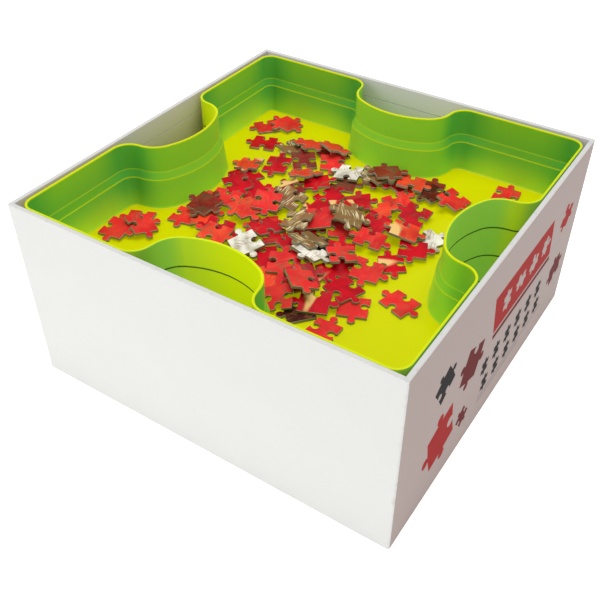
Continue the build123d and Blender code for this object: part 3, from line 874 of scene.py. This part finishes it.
class CASE_OT_trays(bpy.types.Operator):
    """Mould the stack of sorting trays"""
    bl_idname = "case.trays"
    bl_label = "Sorting trays"

    def execute(self, context):
        tray = context.scene.case_tray
        mesh = self.moulding(tray, tray_plan(tray))
        mesh.materials.append(lime_plastic())
        for name in TRAYS:
            low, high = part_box(name)
            made = bpy.data.objects.new(f"{name}_moulding", mesh)
            context.scene.collection.objects.link(made)
            made.location = ((low.x + high.x) / 2, (low.y + high.y) / 2, low.z)
            keep_flat(made)
            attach(made, name)
            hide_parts(name)
        return {"FINISHED"}

    def moulding(self, tray, plan):
        """The mesh that all the trays share: a section swept round the plan, with two caps."""
        wall, ledge = tray.wall, tray.ledge

        def lower(z):
            return tray.ledge_width + tray.taper * (ledge - z) / ledge

        slope_low, slope_high = ledge - tray.slope_below, ledge + tray.slope_above
        line = rounded([
            (tray.floor_inset, wall, 0), (lower(wall) + wall, wall, 2 * MM),
            (lower(slope_low) + wall, slope_low, 0.8 * MM), (wall, slope_high, 0.8 * MM),
            (wall, tray.height, 0.5 * MM), (0, tray.height, 0.5 * MM),
            (0, ledge + tray.seat_gap, 0.3 * MM),
            (tray.ledge_width, ledge + tray.seat_gap, 0.3 * MM), (lower(0), 0, 1.2 * MM),
            (tray.floor_inset, 0, 0)])
        top = max(i for i, p in enumerate(line) if p.y > tray.height - MERGE)
        nooks = self.nooks(tray, plan)
        bm = bmesh.new()
        layers = {name: bm.verts.layers.float.new(name) for name in MARKS}
        rings = [[(*(p - n * row.x), row.y) for p, n in plan] for row in line]
        for i, row in enumerate(sweep(bm, rings)):
            for vert, nook in zip(row, nooks):
                vert[layers["height"]] = line[i].y
                vert[layers["inside"]] = float(i <= top)
                vert[layers["nook"]] = nook
        cap(bm, rings[0], wall, spacing=7 * MM, facing=1, mark=layers["inside"])
        cap(bm, rings[-1], 0, spacing=12 * MM, facing=-1)
        bmesh.ops.remove_doubles(bm, verts=bm.verts, dist=2 * MERGE)
        made = finish_mesh(bm, "tray_moulding", smooth=40)
        mesh = made.data
        bpy.data.objects.remove(made)
        return mesh

    def nooks(self, tray, plan):
        """How near each point of the plan is to a dark corner that is hollow from inside.

        On the right side only the back corner counts, because light reaches the others.
        """
        edge_zone = 100 * MM
        bends = [p for (p, out), (_, next_out) in zip(plan, plan[1:] + plan[:1])
                 if out.angle_signed(next_out, 0.0) < -0.05
                 and (p.x < edge_zone or p.y > edge_zone)]
        return [max(math.exp(-((p - q).length / tray.nook_reach) ** 2) for q in bends)
                for p, _ in plan]


class CASE_OT_pieces(bpy.types.Operator):
    """Press and print the loose jigsaw pieces that lie in the top tray"""
    bl_idname = "case.pieces"
    bl_label = "Jigsaw pieces"

    def execute(self, context):
        piece = context.scene.case_piece
        looks = {  # second ink, how much of it, ink of the hairs, how many hairs
            "scarlet": (ink(230, 60, 48), 0.7, ink(240, 110, 80), 0.22),
            "crimson": (ink(156, 2, 20), 0.6, ink(90, 20, 20), 0.15),
            "orange": (ink(222, 40, 40), 0.8, ink(250, 150, 96), 0.22),
            "maroon": (ink(104, 70, 46), 0.8, ink(190, 60, 50), 0.35),
            "cream": (ink(172, 164, 142), 0.8, ink(150, 104, 66), 0.55),
            "khaki": (ink(170, 60, 44), 0.35, ink(232, 214, 168), 0.95),
            "coal": (ink(110, 16, 20), 0.6, ink(150, 110, 70), 0.35),
        }
        for number, name in enumerate(PRINTS):
            second, patches, hair, hairs = looks[name]
            material = printed_card(f"{name}_card", getattr(piece, name), second, patches, hair,
                                    hairs)
            node = f"{name}_jigsaw_pieces"
            made = self.pressed(piece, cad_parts[node], f"{name}_printed_pieces", number)
            made.data.materials.append(material)
            keep_flat(made)
            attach(made, "tray_5")
            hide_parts(node)
        return {"FINISHED"}

    def pressed(self, piece, cad, name, number):
        """The cut pieces with their upper edges pressed round, and their part of the picture."""
        chance = random.Random(piece.seed + number)
        bm = bmesh.new()
        bm.from_mesh(cad.data)
        bmesh.ops.remove_doubles(bm, verts=bm.verts, dist=MERGE)
        bmesh.ops.dissolve_limit(bm, angle_limit=math.radians(0.5), verts=bm.verts, edges=bm.edges)
        bm.normal_update()
        level = 0.85  # a face that points up by more than this is a piece's top
        upper = [e for e in bm.edges if len(e.link_faces) == 2
                 and max(f.normal.z for f in e.link_faces) > level
                 and min(f.normal.z for f in e.link_faces) < 0.7]
        bmesh.ops.bevel(bm, geom=upper, offset=piece.edge_round, segments=3, profile=0.5,
                        affect="EDGES", clamp_overlap=True)
        uv = bm.loops.layers.uv.new("print")
        layer = bm.verts.layers.float.new("layer")
        lot = bm.verts.layers.float.new("chance")
        for island in islands(bm):
            faces = {f for v in island for f in v.link_faces}
            tops = [f for f in faces if f.normal.z > level]
            up = max(tops, key=lambda f: f.calc_area()).normal.copy()
            heights = [v.co.dot(up) for v in island]
            low, high = min(heights), max(heights)
            middle = sum((v.co for v in island), Vector()) / len(island)
            spin = Matrix.Rotation(chance.uniform(0, 2 * math.pi), 2)
            shift = Vector((chance.uniform(-0.5, 0.5), chance.uniform(-0.5, 0.5)))
            draw = chance.random()
            for v, h in zip(island, heights):
                v[layer] = (h - low) / (high - low)
                v[lot] = draw
            for f in faces:
                for loop in f.loops:
                    flat = Vector((loop.vert.co - middle)[:2])
                    loop[uv].uv = spin @ flat + shift
        return finish_mesh(bm, name, smooth=38)


def islands(bm):
    """The separate pieces of a mesh, as lists of vertices."""
    left = set(bm.verts)
    while left:
        start = min(left, key=lambda v: v.index)
        found, front = {start}, [start]
        while front:
            vert = front.pop()
            for edge in vert.link_edges:
                other = edge.other_vert(vert)
                if other not in found:
                    found.add(other)
                    front.append(other)
        left -= found
        yield sorted(found, key=lambda v: v.index)


class CASE_OT_stage(bpy.types.Operator):
    """Set the pale floor, the soft lights and the camera"""
    bl_idname = "case.stage"
    bl_label = "Stage"

    def execute(self, context):
        stage = context.scene.case_stage
        bm = bmesh.new()
        bmesh.ops.create_grid(bm, x_segments=8, y_segments=8, size=4)
        floor = finish_mesh(bm, "pale_floor")
        made, t, surface = shader("pale_floor", Roughness=0.9, Specular_IOR_Level=0.1,
                                  Emission_Strength=stage.glow)
        cloud = t.noise(t.node("ShaderNodeTexCoord").outputs["Object"], 3.0, 2.0)
        tone = t.plus(t.times(cloud, 0.01), 0.995)
        t.put(surface["Base Color"], t.tinted(stage.floor, tone))
        t.put(surface["Emission Color"], t.tinted(stage.floor, tone))
        floor.data.materials.append(made)
        floor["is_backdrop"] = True

        world = bpy.data.worlds.new("even_sky")
        world.use_nodes = True
        world.node_tree.nodes["Background"].inputs["Color"].default_value = (1, 1, 1, 1)
        world.node_tree.nodes["Background"].inputs["Strength"].default_value = stage.sky
        context.scene.world = world
        context.scene.view_settings.view_transform = "Standard"

        self.lamp(context, "key_light", stage.key, place=(0.02, 0.06, 1.2), size=0.8)
        self.lamp(context, "front_light", stage.fill, place=(-0.55, -0.95, 0.75), size=0.7)

        data = bpy.data.cameras.new("camera")
        data.lens = stage.lens
        data.sensor_width = 36  # millimetres
        data.clip_start = 0.01
        camera = bpy.data.objects.new("camera", data)
        camera.location = stage.camera_place
        camera.rotation_euler = stage.camera_turn
        context.scene.collection.objects.link(camera)
        context.scene.camera = camera
        return {"FINISHED"}

    def lamp(self, context, name, power, place, size):
        """A square soft light that points at the middle of the box."""
        data = bpy.data.lights.new(name, "AREA")
        data.energy = power
        data.size = size
        lamp = bpy.data.objects.new(name, data)
        lamp.location = place
        aim = Vector((0, 0, 0.07)) - Vector(place)
        lamp.rotation_euler = aim.to_track_quat("-Z", "Y").to_euler()
        context.scene.collection.objects.link(lamp)


class CASE_PT_panel(bpy.types.Panel):
    bl_idname = "CASE_PT_panel"
    bl_label = "Jigsaw Case"
    bl_space_type = "VIEW_3D"
    bl_region_type = "UI"
    bl_category = "Jigsaw Case"

    def draw(self, context):
        scene = context.scene
        parts = ((None, ("case.groups",)), (scene.case_box, ("case.wrap", "case.boards")),
                 (scene.case_tray, ("case.trays",)), (scene.case_piece, ("case.pieces",)),
                 (scene.case_stage, ("case.stage",)))
        for settings, operators in parts:
            block = self.layout.box()
            for operator in operators:
                block.operator(operator)
            for name in settings.__annotations__ if settings else ():
                block.prop(settings, name)


CLASSES = (CaseBoxSettings, CaseTraySettings, CasePieceSettings, CaseStageSettings,
           CASE_OT_groups, CASE_OT_wrap, CASE_OT_boards, CASE_OT_trays, CASE_OT_pieces,
           CASE_OT_stage, CASE_PT_panel)
SETTINGS = {"case_box": CaseBoxSettings, "case_tray": CaseTraySettings,
            "case_piece": CasePieceSettings, "case_stage": CaseStageSettings}


def register():
    for made in CLASSES:
        bpy.utils.register_class(made)
    for name, group in SETTINGS.items():
        setattr(bpy.types.Scene, name, PointerProperty(type=group))


def unregister():
    for name in SETTINGS:
        delattr(bpy.types.Scene, name)
    for made in reversed(CLASSES):
        bpy.utils.unregister_class(made)


def corners(box):
    return [list(corner) for corner in box]


def main():
    """Build the whole case."""
    register()
    bpy.ops.case.groups()
    bpy.ops.case.wrap()
    bpy.ops.case.boards()
    bpy.ops.case.trays()
    bpy.ops.case.pieces()
    bpy.ops.case.stage()
    {"cad": corners(CAD_BOX), "visual": corners(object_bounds())}


if __name__ == "__main__":
    main()
